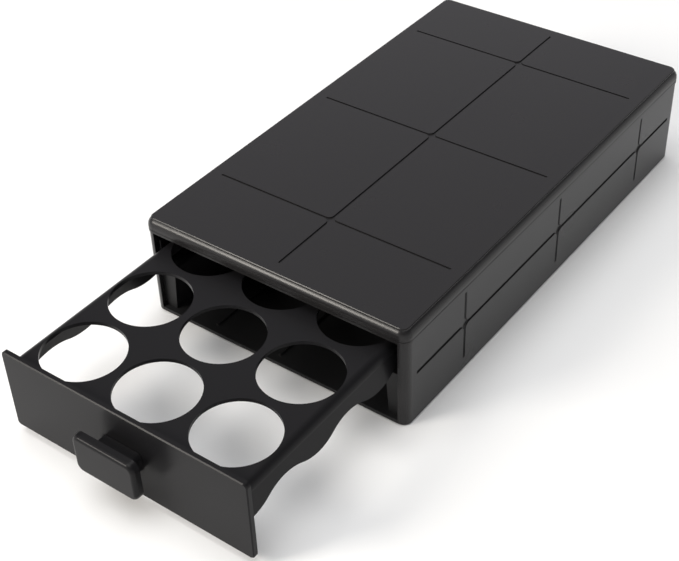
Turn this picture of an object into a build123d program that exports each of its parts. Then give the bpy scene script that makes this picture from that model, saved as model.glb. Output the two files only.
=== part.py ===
# Coffee pod drawer: a low cabinet with one sliding drawer whose deck has eighteen round pockets.
# Millimetres. +Z is up, +Y runs from the drawer's mouth to the rear wall, and the origin is the centre
# of the cabinet's flat underside. The drawer stands part open, as it is left for loading.
from build123d import *
import os

os.makedirs("parts", exist_ok=True)

# ---------------------------------------------------------------- driving dimensions
# what a pocket is made for, which sets the drawer's width, length and depth
pod_rim = 51.0  # across a standard single-serve rim
pod_height = 44.0
pod_columns = 3
pod_rows = 6
pod_gap = 0.5  # between the rims of neighbours
rim_rest = 2.2  # how far a rim rests on the deck
pod_floor_gap = 2.5  # under what hangs in a pocket
header_gap = 6.7  # deck to the lower edge of the top cover's rim

# clearances
fit_gap = 0.2  # between pieces that are fitted together and stay put
slide_gap = 0.35  # between the drawer and what it slides on or under
same_spot = 0.01  # nearer than this, an edge counts as being at a place
rear_clear = 1.1  # tray's rear end to the rear wall, shut

# drawer
front_thickness = 3.0
first_margin = 5.4  # drawer front's face to the first pockets
rear_trim = 0.35  # tray ends just short of the wave's lowest point
drawer_open = 118.8  # how far the drawer stands out from shut
shut_recess = 0.5  # drawer front behind the cabinet's mouth when shut
tray_wall = 2.2
deck_side = 1.75  # outermost rims to the shoulders
shoulder_radius = 5.0
skirt_spread = 2.5  # skirts lean outwards by this at their foot
skirt_short = 12.1  # deck to the skirt's lower edge at a row of pockets
skirt_deep = 17.7  # deck to the skirt's lower edge between rows
skirt_trim = 1.5  # the skirt is drawn this much deeper, then cut to the wave
flange_thickness = 1.8  # tray's front and rear walls
flange_depth = 34.3
rail_length = 41.6  # guide rails at the tray's rear end
rail_height = 9.85
rail_root = 0.7  # the rails reach this far inside the skirts
rail_side_gap = 0.4

# cabinet body
mouth_gap = 2.5  # skirt's foot to the front posts
post_width = 6.0
post_depth = 3.2
rim_overhang = 0.4  # top cover's rim stands proud of the walls
body_wall = 2.4
tongue_height = 3.2

# top cover
rim_height = 9.0
cover_thickness = 2.6
cover_wall = 2.8
rim_wall = 1.7
edge_round = 5.5
corner_extra = 0.5  # plan corners are rounder than the top edge by this
pad_inset = 2.2  # step between the rounded edge and the flat top
pad_edge = 0.4
bead_height = 1.5  # bead along the rim's lower edge
bead_line = 0.5
bead_depth = 0.4

# grooves that divide the top and the sides into tiles
groove_width = 1.4
groove_depth = 0.8
side_groove_width = 2.2
side_groove_depth = 0.9
side_groove_lean = 30.0  # degrees, so that the side grooves narrow inwards
groove_star = 3.2  # rounding of the tile corners where grooves cross
groove_margin = 10.4  # groove ends to the edge of the top
cross_grooves = 3
rows_per_tile = 2
first_groove = 57.5  # mouth to the first cross groove
side_spine_rise = 3.9  # side's long groove above the middle of the wall
side_groove_low = 8.0
side_groove_margin = 2.4

# base plate, feet
base_thickness = 2.2
rib_width = 1.4
rib_height = 1.6
rib_step = 46.0
rib_end = 2.0  # ribs stop short of the runners and the walls
foot_radius = 7.5
foot_drop = 1.0
foot_seat = 0.5
foot_inset_x = 14.0
foot_inset_y = 16.0

# runners
runner_setback = 3.8  # mouth to the runners' front ends
ledge_reach = 7.5  # ledge's inner edge inside the skirt's foot
ledge_draft = 2.0  # inner wall leans outwards by this at its foot
ledge_edge = 1.5
runner_wall = 2.0
strip_depth = 2.8  # upper strip stands in from the runner's web
strip_height = 7.5
strip_slot = 1.4
stop_setback = 2.0
stop_thickness = 2.5
stop_depth = 2.4
clip_length = 10.0
clip_height = 3.0
clip_end = 63.0  # end clips to the cabinet's ends

# screws
screw_radius = 1.4
screw_clear = 0.05
shank_sides = 8
head_radius = 2.8
head_height = 1.4
head_bevel = 0.5
head_sides = 16
point_taper = 40.0
boss_half = 3.0
boss_height = 15.0
base_screw_inset = 2.4  # screws to the runners' webs
base_screw_end = 28.0  # end screws to the cabinet's ends
base_screw_length = 12.0
front_screw_rise = 9.0  # front screws above and below the panel's middle
front_screw_bite = 2.2
handle_screw_step = 14.0
handle_screw_length = 10.0

# front panel and handle
front_side_gap = 2.2
front_head_gap = 0.8
front_floor_gap = 2.0
front_corner = 2.5
front_edge = 0.6
handle_reach = 14.0  # panel face to the handle's face
handle_width = 42.0
handle_height = 25.0
handle_thickness = 5.0
handle_corner = 5.0
handle_edge = 2.2
handle_lean = 4.0  # degrees
neck_width = 26.0
neck_height = 12.0
neck_corner = 3.0

# ---------------------------------------------------------------- worked out from the above
pod_step = pod_rim + pod_gap
pocket_radius = pod_rim / 2 - rim_rest
deck_z = base_thickness + rib_height + pod_floor_gap + pod_height
seam_z = deck_z + header_gap  # lower edge of the top cover's rim
cab_height = seam_z + rim_height
shoulder_half = pod_columns * pod_step / 2 + deck_side
skirt_half = shoulder_half + skirt_spread
mouth_half = skirt_half + mouth_gap
cab_width = 2 * (mouth_half + post_width)
first_row = pocket_radius + first_margin
rows_length = (pod_rows - 1) * pod_step
drawer_length = first_row + rows_length + pod_step / 2 - rear_trim
cab_length = shut_recess + drawer_length + rear_clear + body_wall + rim_overhang
mouth_y = -cab_length / 2
panel_y = mouth_y + shut_recess - drawer_open  # drawer front's face
panel_back_y = panel_y + front_thickness
tray_rear_y = panel_y + drawer_length
row_one_y = panel_y + first_row
rows_mid_y = row_one_y + rows_length / 2
wave_high = deck_z - skirt_short
wave_low = deck_z - skirt_deep
flange_bottom = deck_z - flange_depth
corner_radius = edge_round + corner_extra
body_width = cab_width - 2 * rim_overhang
body_length = cab_length - 2 * rim_overhang
body_radius = corner_radius - rim_overhang
inner_width = body_width - 2 * body_wall
inner_radius = body_radius - body_wall
inner_front_y = mouth_y + rim_overhang + post_depth
inner_rear_y = mouth_y + cab_length - rim_overhang - body_wall
inner_length = inner_rear_y - inner_front_y
inner_mid_y = (inner_front_y + inner_rear_y) / 2
rail_bottom = wave_low - slide_gap
rail_top = rail_bottom + rail_height
ledge_z = rail_bottom - slide_gap
ledge_half = skirt_half - ledge_reach
flange_half = ledge_half - 2 * slide_gap
strip_z = rail_top + slide_gap
strip_top = strip_z + strip_height
web_outer = inner_width / 2 - fit_gap
web_inner = web_outer - runner_wall
rail_half = web_inner - rail_side_gap
runner_front_y = mouth_y + runner_setback
runner_rear_y = inner_rear_y - fit_gap
runner_length = runner_rear_y - runner_front_y
front_half = mouth_half - front_side_gap
front_top = seam_z - front_head_gap
front_bottom = base_thickness + front_floor_gap
front_height = front_top - front_bottom
front_mid_z = (front_top + front_bottom) / 2
tile_length = rows_per_tile * pod_step
groove_rows = [mouth_y + first_groove + step * tile_length for step in range(cross_grooves)]
side_spine_z = seam_z / 2 + side_spine_rise
side_groove_top = seam_z - side_groove_margin
clip_site = cab_length / 2 - clip_end
base_screw_site = cab_length / 2 - base_screw_end
base_screw_x = web_inner - base_screw_inset
base_screw_sites = (-base_screw_site, 0, base_screw_site)
base_screw_points = [(side * base_screw_x, site) for side in (-1, 1) for site in base_screw_sites]
front_screw_heights = (front_mid_z - front_screw_rise, front_mid_z + front_screw_rise)
front_screw_points = [(side * pod_step / 2, height) for side in (-1, 1) for height in front_screw_heights]
handle_screw_points = [(side * handle_screw_step / 2, front_mid_z) for side in (-1, 1)]


def section(y):
    """Upright plane across the drawer at y, with +X to the right and +Z up."""
    return Plane(origin=(0, y, 0), x_dir=(1, 0, 0), z_dir=(0, -1, 0))


def tile_grooves(width, spine_at, spine_length, cross_at, cross_length):
    """One long groove along local X and the cross grooves, opened to a small star where they meet."""
    star_reach = groove_star + width / 2
    with Locations((0, spine_at)):
        Rectangle(spine_length, width)
    for place in groove_rows:
        with Locations((place, cross_at)):
            Rectangle(width, cross_length)
        with Locations((place, spine_at)):
            Rectangle(2 * star_reach, 2 * star_reach)
            with GridLocations(2 * star_reach, 2 * star_reach, 2, 2):
                Circle(groove_star, mode=Mode.SUBTRACT)


def screw(length):
    """A pan-head self-tapping screw standing on its head, with its point up."""
    with BuildPart() as blank:
        with BuildSketch(Plane.XY):
            RegularPolygon(head_radius, head_sides)
        extrude(amount=-head_height)
        chamfer(blank.edges().group_by(Axis.Z)[0], head_bevel)
        with BuildSketch(Plane.XY):
            RegularPolygon(screw_radius, shank_sides)
        extrude(amount=length - screw_radius)
        with BuildSketch(Plane.XY.offset(length - screw_radius)):
            RegularPolygon(screw_radius, shank_sides)
        extrude(amount=screw_radius, taper=point_taper)
    return blank.part


def screw_holes(points):
    """Pilot holes for the screws, in the sketch that is open."""
    with Locations(*points):
        RegularPolygon(screw_radius + screw_clear, shank_sides)


def head_holes(points, gap):
    """Room for the screws' heads, in the sketch that is open."""
    with Locations(*points):
        RegularPolygon(head_radius + gap, head_sides)


# ---------------------------------------------------------------- top cover
with BuildPart() as top_cover:
    with BuildSketch(Plane.XY.offset(seam_z)):
        RectangleRounded(cab_width, cab_length, corner_radius)
    extrude(amount=cab_height - seam_z)
    fillet(top_cover.edges().group_by(Axis.Z)[-1], edge_round)
    # the flat top stands a little proud of the rounded edge
    with BuildSketch(Plane.XY.offset(cab_height - edge_round)):
        RectangleRounded(cab_width - 2 * pad_inset, cab_length - 2 * pad_inset, corner_radius - pad_inset)
    extrude(amount=edge_round)
    chamfer(top_cover.faces().sort_by(Axis.Z)[-1].outer_wire().edges(), pad_edge)
    # hollow underneath, wider at the rim for the body's tongue
    with BuildSketch(Plane.XY.offset(seam_z)):
        RectangleRounded(cab_width - 2 * cover_wall, cab_length - 2 * cover_wall, corner_radius - cover_wall)
    extrude(amount=cab_height - cover_thickness - seam_z, mode=Mode.SUBTRACT)
    with BuildSketch(Plane.XY.offset(seam_z)):
        RectangleRounded(cab_width - 2 * rim_wall, cab_length - 2 * rim_wall, corner_radius - rim_wall)
    extrude(amount=tongue_height + fit_gap, mode=Mode.SUBTRACT)
    # line that sets off the bead along the rim's lower edge
    with BuildSketch(Plane.XY.offset(seam_z + bead_height)):
        RectangleRounded(
            cab_width + 2 * bead_depth, cab_length + 2 * bead_depth, corner_radius + bead_depth
        )
        RectangleRounded(
            cab_width - 2 * bead_depth,
            cab_length - 2 * bead_depth,
            corner_radius - bead_depth,
            mode=Mode.SUBTRACT,
        )
    extrude(amount=bead_line, mode=Mode.SUBTRACT)
    # tile grooves in the top
    with BuildSketch(Plane(origin=(0, 0, cab_height), x_dir=(0, 1, 0), z_dir=(0, 0, 1))):
        tile_grooves(groove_width, 0, cab_length - 2 * groove_margin, 0, cab_width - 2 * groove_margin)
    extrude(amount=-groove_depth, mode=Mode.SUBTRACT)
top_cover.part.label = "top_cover"

# ---------------------------------------------------------------- cabinet body
with BuildPart() as cabinet_body:
    with BuildSketch(Plane.XY):
        RectangleRounded(body_width, body_length, body_radius)
        with Locations((0, inner_mid_y)):
            RectangleRounded(inner_width, inner_length, inner_radius, mode=Mode.SUBTRACT)
    extrude(amount=seam_z)
    # tongue that the top cover's rim closes over
    with BuildSketch(Plane.XY.offset(seam_z)):
        tongue_inset = rim_wall + fit_gap
        RectangleRounded(
            cab_width - 2 * tongue_inset, cab_length - 2 * tongue_inset, corner_radius - tongue_inset
        )
        with Locations((0, inner_mid_y)):
            RectangleRounded(inner_width, inner_length, inner_radius, mode=Mode.SUBTRACT)
    extrude(amount=tongue_height)
    # mouth between the front posts
    with BuildSketch(section(mouth_y)):
        with Locations((0, seam_z / 2)):
            Rectangle(2 * mouth_half, 2 * seam_z)
    extrude(amount=-(rim_overhang + post_depth), mode=Mode.SUBTRACT)
    # tile grooves in both sides
    side_cross = (side_groove_low + side_groove_top) / 2
    for side in (-1, 1):
        with BuildSketch(Plane(origin=(side * body_width / 2, 0, 0), x_dir=(0, 1, 0), z_dir=(1, 0, 0))):
            tile_grooves(
                side_groove_width,
                side_spine_z,
                cab_length - 2 * groove_margin,
                side_cross,
                side_groove_top - side_groove_low,
            )
        extrude(amount=-side * side_groove_depth, taper=side_groove_lean, mode=Mode.SUBTRACT)
    # clips that hold the runners
    for side in (-1, 1):
        for site in (-clip_site, 0, clip_site):
            with Locations((side * (inner_width / 2 - runner_wall / 2), site, (ledge_z + strip_z) / 2)):
                Box(runner_wall, clip_length, clip_height)
cabinet_body.part.label = "cabinet_body"

# ---------------------------------------------------------------- base plate
base_width = inner_width - 2 * fit_gap
base_front_y = inner_front_y + fit_gap
base_rear_y = inner_rear_y - fit_gap
lip_front_y = mouth_y + rim_overhang
foot_x = body_width / 2 - foot_inset_x
foot_y = body_length / 2 - foot_inset_y
with BuildPart() as base_plate:
    with BuildSketch(Plane.XY):
        with Locations((0, (base_front_y + base_rear_y) / 2)):
            RectangleRounded(base_width, base_rear_y - base_front_y, inner_radius - fit_gap)
        with Locations((0, (lip_front_y + base_front_y + inner_radius) / 2)):
            Rectangle(2 * (mouth_half - fit_gap), base_front_y + inner_radius - lip_front_y)
    extrude(amount=base_thickness)
    # stiffening ribs on the inside, between the runners
    rib_span = 2 * (ledge_half - rib_end)
    with BuildSketch(Plane.XY.offset(base_thickness)):
        with GridLocations(rib_step, 0, 3, 1):
            Rectangle(rib_width, inner_length - 2 * rib_end)
        with GridLocations(0, tile_length, 1, 3):
            Rectangle(rib_span, rib_width)
    extrude(amount=rib_height)
    # seats for the feet and the screw heads
    with BuildSketch(Plane.XY):
        with GridLocations(2 * foot_x, 2 * foot_y, 2, 2):
            Circle(foot_radius)
    extrude(amount=foot_seat, mode=Mode.SUBTRACT)
    with BuildSketch(Plane.XY):
        head_holes(base_screw_points, fit_gap)
    extrude(amount=head_height, mode=Mode.SUBTRACT)
    with BuildSketch(Plane.XY):
        screw_holes(base_screw_points)
    extrude(amount=base_thickness, mode=Mode.SUBTRACT)
base_plate.part.label = "base_plate"

# ---------------------------------------------------------------- runners
with BuildPart() as right_runner:
    # profile: a hollow ledge below, a web against the wall and a hooked strip above
    with BuildSketch(section(runner_front_y)):
        with BuildLine():
            Polyline(
                (web_outer, base_thickness),
                (web_outer, strip_top),
                (web_inner - strip_depth, strip_top),
                (web_inner - strip_depth, strip_z),
                (web_inner, strip_z),
                (web_inner, ledge_z),
                (ledge_half, ledge_z),
                (ledge_half + ledge_draft, base_thickness),
                (web_outer, base_thickness),
            )
        make_face()
        with Locations((web_inner - strip_slot / 2, strip_top)):
            Rectangle(strip_slot, 2 * (strip_height - runner_wall), mode=Mode.SUBTRACT)
    extrude(amount=-runner_length)
    ledge_nose = right_runner.edges().filter_by(Axis.Y).filter_by(
        lambda edge: abs(edge.center().X - ledge_half) < same_spot and abs(edge.center().Z - ledge_z) < same_spot
    )
    fillet(ledge_nose, ledge_edge)
    # hollow of the ledge, open below, with a closed front and rear end
    with BuildSketch(section(runner_front_y + runner_wall)):
        with BuildLine():
            Polyline(
                (web_inner, base_thickness),
                (web_inner, ledge_z - runner_wall),
                (ledge_half + runner_wall, ledge_z - runner_wall),
                (ledge_half + runner_wall + ledge_draft, base_thickness),
                (web_inner, base_thickness),
            )
        make_face()
    extrude(amount=-(runner_length - 2 * runner_wall), mode=Mode.SUBTRACT)
    # bosses for the base screws
    right_screw_points = [(x, y) for x, y in base_screw_points if x > 0]
    with BuildSketch(Plane.XY.offset(base_thickness)):
        with Locations(*right_screw_points):
            Rectangle(2 * boss_half, 2 * boss_half)
    extrude(amount=boss_height)
    with BuildSketch(Plane.XY.offset(base_thickness)):
        screw_holes(right_screw_points)
    extrude(amount=base_screw_length, mode=Mode.SUBTRACT)
    # stop for the drawer's guide rail
    stop_front_y = runner_front_y + stop_setback
    stop_travel = tray_rear_y - rail_length - (stop_front_y + stop_thickness)
    with BuildSketch(section(stop_front_y)):
        with Locations((web_inner - stop_depth / 2, (ledge_z + strip_z) / 2)):
            Rectangle(stop_depth, strip_z - ledge_z)
    extrude(amount=-stop_thickness)
    # windows for the body's clips
    for site in (-clip_site, 0, clip_site):
        with Locations(((web_inner + web_outer) / 2, site, (ledge_z + strip_z) / 2)):
            Box(runner_wall, clip_length + 2 * fit_gap, clip_height + 2 * fit_gap, mode=Mode.SUBTRACT)
    # ends trimmed to the body's rounded inside corners
    with BuildSketch(Plane.XY):
        with Locations((0, inner_mid_y)):
            RectangleRounded(2 * web_outer, inner_length - 2 * fit_gap, inner_radius - fit_gap)
    extrude(amount=seam_z, mode=Mode.INTERSECT)
right_runner.part.label = "right_runner"

with BuildPart() as left_runner:
    add(mirror(right_runner.part, about=Plane.YZ, mode=Mode.PRIVATE))
left_runner.part.label = "left_runner"

# ---------------------------------------------------------------- drawer tray
shoulder_x = shoulder_half - shoulder_radius
shoulder_z = deck_z - shoulder_radius
inner_shoulder = shoulder_radius - tray_wall
arc_corner = shoulder_radius * 0.5**0.5
inner_corner = inner_shoulder * 0.5**0.5
wave_mid = (wave_high + wave_low) / 2
quarter = pod_step / 4
tray_length = tray_rear_y - panel_back_y
skirt_lean = (skirt_half - shoulder_half) / (shoulder_z - wave_low)
foot_z = wave_low - skirt_trim
foot_x_outer = skirt_half + skirt_lean * skirt_trim
with BuildPart() as drawer_tray:
    # deck, shoulders and skirts in one section
    with BuildSketch(section(panel_back_y)):
        with BuildLine():
            Line((-foot_x_outer, foot_z), (-shoulder_half, shoulder_z))
            ThreePointArc(
                (-shoulder_half, shoulder_z),
                (-shoulder_x - arc_corner, shoulder_z + arc_corner),
                (-shoulder_x, deck_z),
            )
            Line((-shoulder_x, deck_z), (shoulder_x, deck_z))
            ThreePointArc(
                (shoulder_x, deck_z),
                (shoulder_x + arc_corner, shoulder_z + arc_corner),
                (shoulder_half, shoulder_z),
            )
            Line((shoulder_half, shoulder_z), (foot_x_outer, foot_z))
            Line((foot_x_outer, foot_z), (foot_x_outer - tray_wall, foot_z))
            Line((foot_x_outer - tray_wall, foot_z), (shoulder_half - tray_wall, shoulder_z))
            ThreePointArc(
                (shoulder_half - tray_wall, shoulder_z),
                (shoulder_x + inner_corner, shoulder_z + inner_corner),
                (shoulder_x, deck_z - tray_wall),
            )
            Line((shoulder_x, deck_z - tray_wall), (-shoulder_x, deck_z - tray_wall))
            ThreePointArc(
                (-shoulder_x, deck_z - tray_wall),
                (-shoulder_x - inner_corner, shoulder_z + inner_corner),
                (tray_wall - shoulder_half, shoulder_z),
            )
            Line((tray_wall - shoulder_half, shoulder_z), (tray_wall - foot_x_outer, foot_z))
            Line((tray_wall - foot_x_outer, foot_z), (-foot_x_outer, foot_z))
        make_face()
    extrude(amount=-tray_length)
    # wavy lower edge: high at each row of pockets, low between rows
    with BuildSketch(Plane.YZ):
        with BuildLine():
            start_y = row_one_y - 3 * quarter
            for row in range(pod_rows):
                low_y = row_one_y + row * pod_step - 2 * quarter
                ThreePointArc((low_y - quarter, wave_mid), (low_y, wave_low), (low_y + quarter, wave_mid))
                high_y = low_y + 2 * quarter
                ThreePointArc((high_y - quarter, wave_mid), (high_y, wave_high), (high_y + quarter, wave_mid))
            end_y = row_one_y + rows_length + quarter
            last_low_y = end_y + quarter
            ThreePointArc((end_y, wave_mid), (last_low_y, wave_low), (last_low_y + quarter, wave_mid))
            Polyline(
                (last_low_y + quarter, wave_mid),
                (last_low_y + quarter, foot_z - skirt_trim),
                (start_y, foot_z - skirt_trim),
                (start_y, wave_mid),
            )
        make_face()
    extrude(amount=cab_width / 2, both=True, mode=Mode.SUBTRACT)
    # front flange behind the drawer front, and rear flange
    for flange_y in (panel_back_y, tray_rear_y - flange_thickness):
        with BuildSketch(section(flange_y)):
            with Locations((0, (flange_bottom + deck_z - tray_wall) / 2)):
                Rectangle(2 * flange_half, deck_z - tray_wall - flange_bottom)
        extrude(amount=-flange_thickness)
    # guide rails at the rear, running under the strips
    rail_width = rail_half - skirt_half + tray_wall + rail_root
    rail_mid_x = rail_half - rail_width / 2
    for side in (-1, 1):
        with Locations((side * rail_mid_x, tray_rear_y - rail_length / 2, rail_bottom + rail_height / 2)):
            Box(rail_width, rail_length, rail_height)
    # pockets
    with BuildSketch(Plane.XY.offset(deck_z)):
        with Locations((0, rows_mid_y)):
            with GridLocations(pod_step, pod_step, pod_columns, pod_rows):
                Circle(pocket_radius)
    extrude(amount=-tray_wall, mode=Mode.SUBTRACT)
    # screw holes in the front flange, and room for the handle's screw heads
    with BuildSketch(section(panel_back_y)):
        screw_holes(front_screw_points)
        head_holes(handle_screw_points, 2 * fit_gap)
    extrude(amount=-flange_thickness, mode=Mode.SUBTRACT)
drawer_tray.part.label = "drawer_tray"

# ---------------------------------------------------------------- drawer front
with BuildPart() as drawer_front:
    with BuildSketch(section(panel_back_y)):
        with Locations((0, front_mid_z)):
            RectangleRounded(2 * front_half, front_height, front_corner)
    extrude(amount=front_thickness)
    chamfer(drawer_front.faces().sort_by(Axis.Y)[0].edges(), front_edge)
    with BuildSketch(section(panel_back_y)):
        screw_holes(front_screw_points)
    extrude(amount=front_screw_bite + screw_clear, mode=Mode.SUBTRACT)
    with BuildSketch(section(panel_back_y)):
        screw_holes(handle_screw_points)
    extrude(amount=front_thickness, mode=Mode.SUBTRACT)
drawer_front.part.label = "drawer_front"

# ---------------------------------------------------------------- pull handle
plate_back_y = panel_y - handle_reach + handle_thickness
with BuildPart() as pull_handle:
    with BuildSketch(section(plate_back_y)):
        with Locations((0, front_mid_z)):
            RectangleRounded(handle_width, handle_height, handle_corner)
    extrude(amount=handle_thickness, taper=handle_lean)
    fillet(pull_handle.faces().sort_by(Axis.Y)[0].edges(), handle_edge)
    with BuildSketch(section(panel_y)):
        with Locations((0, front_mid_z)):
            RectangleRounded(neck_width, neck_height, neck_corner)
    extrude(amount=panel_y - plate_back_y)
    with BuildSketch(section(panel_y)):
        screw_holes(handle_screw_points)
    extrude(amount=handle_screw_length - front_thickness, mode=Mode.SUBTRACT)
pull_handle.part.label = "pull_handle"

# ---------------------------------------------------------------- feet
feet = {}
for row_name, row_side in (("front", -1), ("rear", 1)):
    for hand_name, hand_side in (("left", -1), ("right", 1)):
        with BuildPart() as foot:
            with BuildSketch(Plane.XY.offset(foot_seat)):
                with Locations((hand_side * foot_x, row_side * foot_y)):
                    Circle(foot_radius)
            extrude(amount=-(foot_seat + foot_drop))
        foot.part.label = f"foot_{row_name}_{hand_name}"
        feet[foot.part.label] = foot.part

# ---------------------------------------------------------------- screws
with BuildPart() as base_screws:
    base_screw = screw(base_screw_length)
    with Locations(*[(x, y, head_height) for x, y in base_screw_points]):
        add(base_screw)
base_screws.part.label = "base_screws"

with BuildPart() as front_screws:
    front_screw = screw(flange_thickness + front_screw_bite)
    for x, z in front_screw_points:
        with Locations(Location((x, panel_back_y + flange_thickness, z), (90, 0, 0))):
            add(front_screw)
front_screws.part.label = "front_screws"

with BuildPart() as handle_screws:
    handle_screw = screw(handle_screw_length)
    for x, z in handle_screw_points:
        with Locations(Location((x, panel_back_y, z), (90, 0, 0))):
            add(handle_screw)
handle_screws.part.label = "handle_screws"

# ---------------------------------------------------------------- one STEP file per piece
pieces = [
    top_cover.part,
    cabinet_body.part,
    base_plate.part,
    right_runner.part,
    left_runner.part,
    drawer_tray.part,
    drawer_front.part,
    pull_handle.part,
    base_screws.part,
    front_screws.part,
    handle_screws.part,
    *feet.values(),
]
for piece in pieces:
    export_step(piece, f"parts/{piece.label}.step")

print("cabinet", round(cab_width, 1), "x", round(cab_length, 1), "x", round(cab_height, 1))
print("drawer stands out", drawer_open, "and can go on", round(stop_travel, 1), "to the stops")
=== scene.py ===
import bmesh
import bpy
import math
from mathutils import Matrix, Vector


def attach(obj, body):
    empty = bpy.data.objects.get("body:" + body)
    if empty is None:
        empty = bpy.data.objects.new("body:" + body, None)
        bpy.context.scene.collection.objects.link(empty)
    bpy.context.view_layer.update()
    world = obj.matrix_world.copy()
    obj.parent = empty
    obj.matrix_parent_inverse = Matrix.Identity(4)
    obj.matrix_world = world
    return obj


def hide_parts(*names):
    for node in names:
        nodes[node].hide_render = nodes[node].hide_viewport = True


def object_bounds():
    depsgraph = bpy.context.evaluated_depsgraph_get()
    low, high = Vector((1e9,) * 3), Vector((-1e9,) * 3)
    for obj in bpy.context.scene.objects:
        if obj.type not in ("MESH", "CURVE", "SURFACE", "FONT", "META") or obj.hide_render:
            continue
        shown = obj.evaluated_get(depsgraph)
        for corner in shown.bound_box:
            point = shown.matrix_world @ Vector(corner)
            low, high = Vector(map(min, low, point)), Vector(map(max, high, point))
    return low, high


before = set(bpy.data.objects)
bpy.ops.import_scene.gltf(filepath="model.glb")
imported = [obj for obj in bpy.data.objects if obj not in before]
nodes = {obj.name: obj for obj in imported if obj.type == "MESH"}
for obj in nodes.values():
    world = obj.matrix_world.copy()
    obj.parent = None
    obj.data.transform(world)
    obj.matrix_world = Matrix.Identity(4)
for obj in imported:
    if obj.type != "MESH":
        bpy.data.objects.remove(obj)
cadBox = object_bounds()
print("drawer unit loaded:", len(nodes), "pieces")

# camera, at the angle the photograph was taken from
cameraSettings = {
    "place": (0.37788, -0.58411, 0.52041),
    "turn": 37.675,  # degrees left of straight ahead
    "dip": 39.096,  # degrees below level
    "tilt": -2.252,  # degrees of roll
    "lens": 72.19,
    "sensor": 36.0,
    "nearest": 0.01,
}


def makeCamera(settings):
    turn, dip, tilt = (math.radians(settings[name]) for name in ("turn", "dip", "tilt"))
    ahead = Vector((-math.sin(turn) * math.cos(dip), math.cos(turn) * math.cos(dip), -math.sin(dip)))
    right = Vector((math.cos(turn), math.sin(turn), 0))
    up = right.cross(ahead)
    rightRolled = right * math.cos(tilt) + up * math.sin(tilt)
    upRolled = up * math.cos(tilt) - right * math.sin(tilt)
    data = bpy.data.cameras.new("studioCamera")
    data.lens = settings["lens"]
    data.sensor_fit = "HORIZONTAL"
    data.sensor_width = settings["sensor"]
    data.clip_start = settings["nearest"]
    camera = bpy.data.objects.new("studioCamera", data)
    bpy.context.scene.collection.objects.link(camera)
    turnMatrix = Matrix((rightRolled, upRolled, -ahead)).transposed()
    camera.matrix_world = Matrix.Translation(settings["place"]) @ turnMatrix.to_4x4()
    bpy.context.scene.camera = camera


makeCamera(cameraSettings)
print("camera placed")

# finishes: what all the mouldings share, then what each plastic has of its own
mouldingSettings = {
    "creviceSamples": 8,
    "openSpot": 0.85,  # a spot this open or more keeps its gloss
    "closedSpot": 0.4,  # a spot this open or less is fully dulled
    "dulling": 0.6,  # roughness that a closed spot gains
    "cloudScale": 26.0,
    "cloudDetail": 3.0,
    "grainDetail": 2.0,
    "grainDepth": 0.00005,
}
plasticFinishes = {
    "cabinetPlastic": {
        "colour": (0.0135, 0.0128, 0.0134), "specular": 0.3, "crevice": 0.0012,
        "rough": 0.27, "sheen": 0.012, "grain": 0.05, "grainSize": 2600.0,
    },
    "drawerPlastic": {
        "colour": (0.0108, 0.0105, 0.0115), "specular": 0.115, "crevice": 0.003,
        "rough": 0.3, "sheen": 0.015, "grain": 0.05, "grainSize": 2600.0,
    },
    "innerPlastic": {
        "colour": (0.0085, 0.0085, 0.009), "specular": 0.3, "crevice": 0.004,
        "rough": 0.5, "sheen": 0.05, "grain": 0.12, "grainSize": 2200.0,
    },
    "footRubber": {
        "colour": (0.018, 0.018, 0.018), "specular": 0.3, "crevice": 0.001,
        "rough": 0.8, "sheen": 0.05, "grain": 0.2, "grainSize": 1800.0,
    },
}


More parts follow.
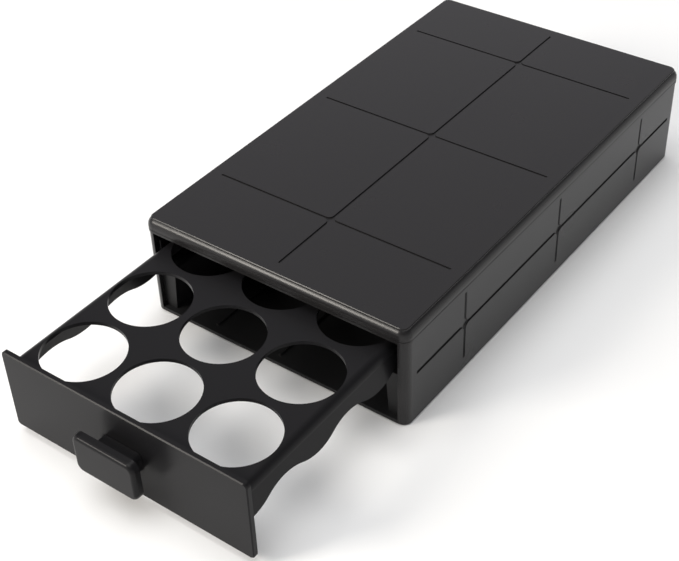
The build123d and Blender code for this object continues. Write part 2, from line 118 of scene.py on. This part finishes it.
def makePlastic(name, finish, shared):
    material = bpy.data.materials.new(name)
    material.use_nodes = True
    tree = material.node_tree
    shader = tree.nodes["Principled BSDF"]
    shader.inputs["Base Color"].default_value = (*finish["colour"], 1)
    shader.inputs["Roughness"].default_value = finish["rough"]
    # painted shade: an occlusion mask raises roughness in grooves and inner corners so they render
    # darker than the geometry alone shades them
    crevice = tree.nodes.new("ShaderNodeAmbientOcclusion")  # grooves and inner corners shine less
    crevice.samples = shared["creviceSamples"]
    crevice.inputs["Distance"].default_value = finish["crevice"]
    dulling = tree.nodes.new("ShaderNodeMapRange")
    dulling.inputs["From Min"].default_value = shared["openSpot"]
    dulling.inputs["From Max"].default_value = shared["closedSpot"]
    dulling.inputs["To Min"].default_value = 0.0
    dulling.inputs["To Max"].default_value = shared["dulling"]
    gloss = tree.nodes.new("ShaderNodeMath")
    gloss.operation = "ADD"
    gloss.use_clamp = True
    shader.inputs["Specular IOR Level"].default_value = finish["specular"]
    place = tree.nodes.new("ShaderNodeTexCoord")
    cloud = tree.nodes.new("ShaderNodeTexNoise")  # slow changes of gloss over the moulding
    cloud.inputs["Scale"].default_value = shared["cloudScale"]
    cloud.inputs["Detail"].default_value = shared["cloudDetail"]
    glossRange = tree.nodes.new("ShaderNodeMapRange")
    glossRange.inputs["To Min"].default_value = finish["rough"] - finish["sheen"]
    glossRange.inputs["To Max"].default_value = finish["rough"] + finish["sheen"]
    grain = tree.nodes.new("ShaderNodeTexNoise")  # fine spark-eroded grain of the mould
    grain.inputs["Scale"].default_value = finish["grainSize"]
    grain.inputs["Detail"].default_value = shared["grainDetail"]
    bump = tree.nodes.new("ShaderNodeBump")
    bump.inputs["Strength"].default_value = finish["grain"]
    bump.inputs["Distance"].default_value = shared["grainDepth"]
    tree.links.new(place.outputs["Object"], cloud.inputs["Vector"])
    tree.links.new(place.outputs["Object"], grain.inputs["Vector"])
    tree.links.new(cloud.outputs["Fac"], glossRange.inputs["Value"])
    tree.links.new(crevice.outputs["AO"], dulling.inputs["Value"])
    tree.links.new(glossRange.outputs["Result"], gloss.inputs[0])
    tree.links.new(dulling.outputs["Result"], gloss.inputs[1])
    tree.links.new(gloss.outputs[0], shader.inputs["Roughness"])
    tree.links.new(grain.outputs["Fac"], bump.inputs["Height"])
    tree.links.new(bump.outputs["Normal"], shader.inputs["Normal"])
    return material


steelSettings = {
    "colour": (0.56, 0.56, 0.55),
    "cloudScale": 400.0,
    "smoothest": 0.26,
    "roughest": 0.4,
}


def makeSteel(name, settings):
    material = bpy.data.materials.new(name)
    material.use_nodes = True
    tree = material.node_tree
    shader = tree.nodes["Principled BSDF"]
    shader.inputs["Base Color"].default_value = (*settings["colour"], 1)
    shader.inputs["Metallic"].default_value = 1.0
    place = tree.nodes.new("ShaderNodeTexCoord")
    cloud = tree.nodes.new("ShaderNodeTexNoise")
    cloud.inputs["Scale"].default_value = settings["cloudScale"]
    glossRange = tree.nodes.new("ShaderNodeMapRange")
    glossRange.inputs["To Min"].default_value = settings["smoothest"]
    glossRange.inputs["To Max"].default_value = settings["roughest"]
    tree.links.new(place.outputs["Object"], cloud.inputs["Vector"])
    tree.links.new(cloud.outputs["Fac"], glossRange.inputs["Value"])
    tree.links.new(glossRange.outputs["Result"], shader.inputs["Roughness"])
    return material


finishes = {}
for finishName, plasticFinish in plasticFinishes.items():
    finishes[finishName] = makePlastic(finishName, plasticFinish, mouldingSettings)
finishes["screwSteel"] = makeSteel("screwSteel", steelSettings)
nodeFinish = {  # the feet are what is left, and are rubber
    "top_cover": "cabinetPlastic",
    "cabinet_body": "cabinetPlastic",
    "base_plate": "innerPlastic",
    "left_runner": "innerPlastic",
    "right_runner": "innerPlastic",
    "drawer_tray": "drawerPlastic",
    "drawer_front": "drawerPlastic",
    "pull_handle": "drawerPlastic",
    "base_screws": "screwSteel",
    "front_screws": "screwSteel",
    "handle_screws": "screwSteel",
}


def dress(nodeName):
    finish = finishes[nodeFinish.get(nodeName, "footRubber")]
    piece = nodes[nodeName]
    piece.data.materials.clear()
    piece.data.materials.append(finish)


for nodeName in nodes:
    dress(nodeName)
print("finishes given")

# screws: the plain heads of the model get a cross recess
quarterTurn = 1.5708
screwSettings = {
    "recessLength": 0.0034,
    "recessWidth": 0.0009,
    "recessDepth": 0.0009,
    "cutterDepths": 2.0,  # the cutter is centred on the head's face, so it is twice as deep
    "sameSpot": 0.00001,
    "sets": {
        "base_screws": {
            "piece": "baseScrewSet", "body": "cabinet",
            "axis": 2, "facing": -1, "turn": (0, 0, 0.4),
        },
        "front_screws": {
            "piece": "frontScrewSet", "body": "drawer",
            "axis": 1, "facing": 1, "turn": (quarterTurn, 0.3, 0),
        },
        "handle_screws": {
            "piece": "handleScrewSet", "body": "drawer",
            "axis": 1, "facing": 1, "turn": (quarterTurn, 0.6, 0),
        },
    },
}


def makeRecessTree(settings):
    tree = bpy.data.node_groups.new("crossRecess", "GeometryNodeTree")
    sockets = {}
    for name, kind, way in (
        ("Points", "NodeSocketGeometry", "INPUT"),
        ("Screws", "NodeSocketObject", "INPUT"),
        ("Recess length", "NodeSocketFloat", "INPUT"),
        ("Recess width", "NodeSocketFloat", "INPUT"),
        ("Recess depth", "NodeSocketFloat", "INPUT"),
        ("Turn", "NodeSocketVector", "INPUT"),
        ("Steel", "NodeSocketMaterial", "INPUT"),
        ("Geometry", "NodeSocketGeometry", "OUTPUT"),
    ):
        sockets[name] = tree.interface.new_socket(name, in_out=way, socket_type=kind).identifier
    given = tree.nodes.new("NodeGroupInput")
    result = tree.nodes.new("NodeGroupOutput")
    blank = tree.nodes.new("GeometryNodeObjectInfo")
    weld = tree.nodes.new("GeometryNodeMergeByDistance")
    weld.inputs["Distance"].default_value = settings["sameSpot"]
    depth = tree.nodes.new("ShaderNodeMath")
    depth.operation = "MULTIPLY"
    depth.inputs[1].default_value = settings["cutterDepths"]
    arms = tree.nodes.new("GeometryNodeJoinGeometry")
    for first, second in (("Recess length", "Recess width"), ("Recess width", "Recess length")):
        size = tree.nodes.new("ShaderNodeCombineXYZ")
        arm = tree.nodes.new("GeometryNodeMeshCube")
        tree.links.new(given.outputs[first], size.inputs["X"])
        tree.links.new(given.outputs[second], size.inputs["Y"])
        tree.links.new(depth.outputs[0], size.inputs["Z"])
        tree.links.new(size.outputs[0], arm.inputs["Size"])
        tree.links.new(arm.outputs["Mesh"], arms.inputs[0])
    spread = tree.nodes.new("GeometryNodeInstanceOnPoints")
    single = tree.nodes.new("GeometryNodeRealizeInstances")
    cut = tree.nodes.new("GeometryNodeMeshBoolean")
    cut.operation = "DIFFERENCE"
    cut.solver = "EXACT"
    cut.inputs["Self Intersection"].default_value = True
    whole = tree.nodes.new("GeometryNodeRealizeInstances")
    paint = tree.nodes.new("GeometryNodeSetMaterial")
    tree.links.new(given.outputs["Recess depth"], depth.inputs[0])
    tree.links.new(given.outputs["Points"], spread.inputs["Points"])
    tree.links.new(given.outputs["Turn"], spread.inputs["Rotation"])
    tree.links.new(given.outputs["Screws"], blank.inputs["Object"])
    tree.links.new(given.outputs["Steel"], paint.inputs["Material"])
    tree.links.new(blank.outputs["Geometry"], weld.inputs["Geometry"])
    tree.links.new(arms.outputs[0], spread.inputs["Instance"])
    tree.links.new(spread.outputs["Instances"], single.inputs["Geometry"])
    tree.links.new(weld.outputs["Geometry"], cut.inputs["Mesh 1"])
    tree.links.new(single.outputs["Geometry"], cut.inputs["Mesh 2"])
    tree.links.new(cut.outputs["Mesh"], whole.inputs["Geometry"])
    tree.links.new(whole.outputs["Geometry"], paint.inputs["Geometry"])
    tree.links.new(paint.outputs["Geometry"], result.inputs["Geometry"])
    return tree, sockets


def headFaces(mesh, axis, facing, sameSpot):
    work = bmesh.new()
    work.from_mesh(mesh)
    bmesh.ops.remove_doubles(work, verts=work.verts, dist=sameSpot)
    centres = []
    left = set(work.verts)
    while left:  # one screw at a time, walked over from corner to corner
        island, edgeOfIsland = set(), [left.pop()]
        while edgeOfIsland:
            vertex = edgeOfIsland.pop()
            island.add(vertex)
            for edge in vertex.link_edges:
                other = edge.other_vert(vertex)
                if other in left:
                    left.remove(other)
                    edgeOfIsland.append(other)
        lows = [min(vertex.co[k] for vertex in island) for k in range(3)]
        highs = [max(vertex.co[k] for vertex in island) for k in range(3)]
        centre = [(low + high) / 2 for low, high in zip(lows, highs)]
        centre[axis] = highs[axis] if facing > 0 else lows[axis]
        centres.append(tuple(centre))
    work.free()
    return centres


def makeScrews(nodeName, tree, sockets, settings):
    own = settings["sets"][nodeName]
    source = nodes[nodeName]
    dots = bpy.data.meshes.new(own["piece"] + "Dots")
    dots.from_pydata(headFaces(source.data, own["axis"], own["facing"], settings["sameSpot"]), [], [])
    carrier = bpy.data.objects.new(own["piece"] + "Carrier", dots)
    bpy.context.scene.collection.objects.link(carrier)
    modifier = carrier.modifiers.new("recess", "NODES")
    modifier.node_group = tree
    modifier[sockets["Screws"]] = source
    modifier[sockets["Recess length"]] = settings["recessLength"]
    modifier[sockets["Recess width"]] = settings["recessWidth"]
    modifier[sockets["Recess depth"]] = settings["recessDepth"]
    modifier[sockets["Turn"]] = own["turn"]
    modifier[sockets["Steel"]] = finishes["screwSteel"]
    bpy.context.view_layer.update()
    evaluated = carrier.evaluated_get(bpy.context.evaluated_depsgraph_get())
    mesh = bpy.data.meshes.new_from_object(evaluated)
    mesh.name = own["piece"]
    bpy.data.objects.remove(carrier)
    piece = bpy.data.objects.new(own["piece"], mesh)
    bpy.context.scene.collection.objects.link(piece)
    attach(piece, own["body"])
    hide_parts(nodeName)
    print(own["piece"], "made,", len(mesh.polygons), "faces")


recessTree, recessSockets = makeRecessTree(screwSettings)
for nodeName in screwSettings["sets"]:
    makeScrews(nodeName, recessTree, recessSockets, screwSettings)

# studio
studioSettings = {
    "floorSize": 12.0,
    "floorHeight": cadBox[0][2],  # under the feet
    "floorColour": (0.9, 0.9, 0.9),
    "floorRough": 0.9,
    "floorSpecular": 0.1,
    "horizonAir": 0.85,
    "highAir": 0.09,
    "horizonTop": 0.12,  # heights on the unit sphere between which the air darkens
    "highStart": 0.5,
    "aim": (0, -0.06, 0.03),
    "overhead": {"strength": 2.25, "spread": 55.0, "lean": (0.08, -0.06, 0.0)},
    "softboxes": {
        "backSoftbox": {
            "place": (-1.0, 1.36, 1.41), "size": 1.7,
            "power": 4.9, "tint": (0.95, 0.93, 1.0),
        },
        "frontSoftbox": {
            "place": (-0.86, -1.38, 0.92), "size": 0.55,
            "power": 21.0, "tint": (1.0, 0.95, 0.88),
        },
    },
}


def makeFloor(settings):
    half = settings["floorSize"] / 2
    low = settings["floorHeight"]
    corners = [(-half, -half, low), (half, -half, low), (half, half, low), (-half, half, low)]
    mesh = bpy.data.meshes.new("studioFloor")
    mesh.from_pydata(corners, [], [(0, 1, 2, 3)])
    floor = bpy.data.objects.new("studioFloor", mesh)
    bpy.context.scene.collection.objects.link(floor)
    material = bpy.data.materials.new("paleFloor")
    material.use_nodes = True
    shader = material.node_tree.nodes["Principled BSDF"]
    shader.inputs["Base Color"].default_value = (*settings["floorColour"], 1)
    shader.inputs["Roughness"].default_value = settings["floorRough"]
    shader.inputs["Specular IOR Level"].default_value = settings["floorSpecular"]
    mesh.materials.append(material)


def makeSoftbox(name, settings, aim):
    data = bpy.data.lights.new(name, "AREA")
    data.shape = "SQUARE"
    data.size = settings["size"]
    data.energy = settings["power"]
    data.color = settings["tint"]
    lamp = bpy.data.objects.new(name, data)
    bpy.context.scene.collection.objects.link(lamp)
    towards = Vector(aim) - Vector(settings["place"])
    turn = towards.to_track_quat("-Z", "Y").to_matrix().to_4x4()
    lamp.matrix_world = Matrix.Translation(settings["place"]) @ turn


def makeOverhead(settings):
    data = bpy.data.lights.new("overheadLight", "SUN")  # even over the whole floor, and soft
    data.energy = settings["strength"]
    data.angle = math.radians(settings["spread"])
    lamp = bpy.data.objects.new("overheadLight", data)
    lamp.rotation_euler = settings["lean"]
    bpy.context.scene.collection.objects.link(lamp)


def makeAir(settings):
    world = bpy.data.worlds.new("studioAir")
    bpy.context.scene.world = world
    world.use_nodes = True
    tree = world.node_tree
    air = tree.nodes["Background"]
    place = tree.nodes.new("ShaderNodeTexCoord")
    split = tree.nodes.new("ShaderNodeSeparateXYZ")
    height = tree.nodes.new("ShaderNodeMapRange")  # pale low down, darker overhead
    height.interpolation_type = "SMOOTHSTEP"
    height.inputs["From Min"].default_value = settings["horizonTop"]
    height.inputs["From Max"].default_value = settings["highStart"]
    height.inputs["To Min"].default_value = settings["horizonAir"]
    height.inputs["To Max"].default_value = settings["highAir"]
    tree.links.new(place.outputs["Generated"], split.inputs[0])
    tree.links.new(split.outputs["Z"], height.inputs["Value"])
    tree.links.new(height.outputs["Result"], air.inputs["Strength"])
    air.inputs["Color"].default_value = (1, 1, 1, 1)


makeFloor(studioSettings)
makeOverhead(studioSettings["overhead"])
for softboxName, softboxSettings in studioSettings["softboxes"].items():
    makeSoftbox(softboxName, softboxSettings, studioSettings["aim"])
makeAir(studioSettings)
bpy.context.scene.view_settings.view_transform = "Standard"
print("studio lit")
